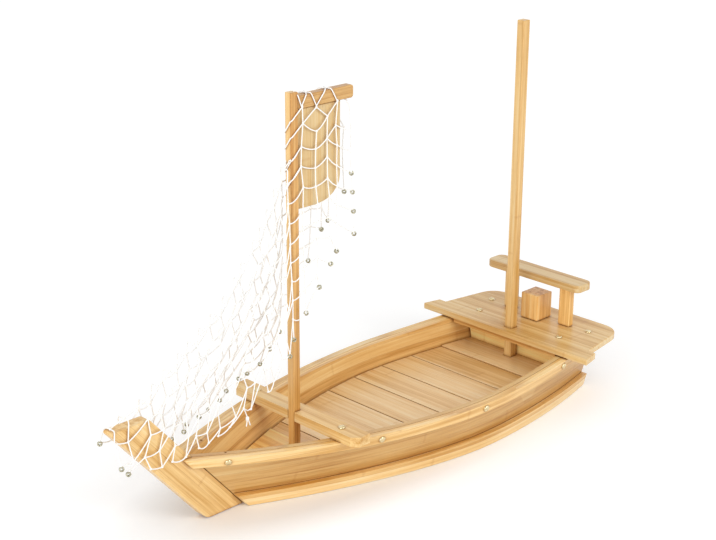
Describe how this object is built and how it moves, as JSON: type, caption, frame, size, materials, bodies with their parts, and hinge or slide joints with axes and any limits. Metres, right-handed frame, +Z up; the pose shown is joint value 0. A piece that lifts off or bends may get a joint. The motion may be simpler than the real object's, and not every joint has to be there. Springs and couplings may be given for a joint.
{
  "type": "sushi boat",
  "caption": "Bamboo serving boat: flared plank hull with tray floor, stern deck with gate rail, lift-out masts, small wooden sail and a draped bead-edged cord net.",
  "frame": {"origin": "centre of the overall box in plan, at the level that the hull's foot stands on", "axes": "+X from the bow to the stern, -Y to the port side, +Z up along the masts"},
  "size_m": [0.65, 0.244, 0.427],
  "materials": {
    "bamboo_pale": "clear satin lacquer",
    "bamboo_warm": "clear satin lacquer",
    "bamboo_floor": "clear satin lacquer",
    "brass": "polished",
    "cord": "twisted cotton"
  },
  "bodies": {
    "hull": {"stem_board": "bamboo_pale", "rail_strip_port": "bamboo_pale", "rail_strip_starboard": "bamboo_pale", "chine_strip_port": "bamboo_pale", "chine_strip_starboard": "bamboo_pale", "stern_deck": "bamboo_pale", "gate_post_port": "bamboo_pale", "gate_post_starboard": "bamboo_pale", "gate_bar": "bamboo_pale", "fore_thwart": "bamboo_pale", "side_plank_port": "bamboo_warm", "side_plank_starboard": "bamboo_warm", "floor_bearer_port": "bamboo_warm", "floor_bearer_starboard": "bamboo_warm", "stern_bulkhead": "bamboo_warm", "deck_batten": "bamboo_warm", "cabin_block": "bamboo_warm", "bow_floor_board": "bamboo_floor", "floor_plank_1": "bamboo_floor", "floor_plank_2": "bamboo_floor", "floor_plank_3": "bamboo_floor", "floor_plank_4": "bamboo_floor", "floor_plank_5": "bamboo_floor", "floor_plank_6": "bamboo_floor", "floor_plank_7": "bamboo_floor", "stern_floor_board": "bamboo_floor", "rail_nail_port_1": "brass", "rail_nail_port_2": "brass", "rail_nail_port_3": "brass", "rail_nail_port_4": "brass", "rail_nail_starboard_1": "brass", "rail_nail_starboard_2": "brass", "rail_nail_starboard_3": "brass", "rail_nail_starboard_4": "brass", "thwart_nail_1": "brass", "thwart_nail_2": "brass", "deck_nail_1": "brass", "deck_nail_2": "brass", "deck_nail_3": "brass", "deck_nail_4": "brass"},
    "fore_mast": {"fore_mast": "bamboo_warm", "boom": "bamboo_warm", "sail_panel": "bamboo_pale", "drape_net": "cord"},
    "aft_mast": {"aft_mast": "bamboo_pale"}
  },
  "joints": [
    {"name": "fore_mast_lift", "type": "slide", "parent": "hull", "child": "fore_mast", "axis": [0, 0, 1], "range_m": [0, 0.06]},
    {"name": "aft_mast_lift", "type": "slide", "parent": "hull", "child": "aft_mast", "axis": [0, 0, 1], "range_m": [0, 0.055]}
  ]
}
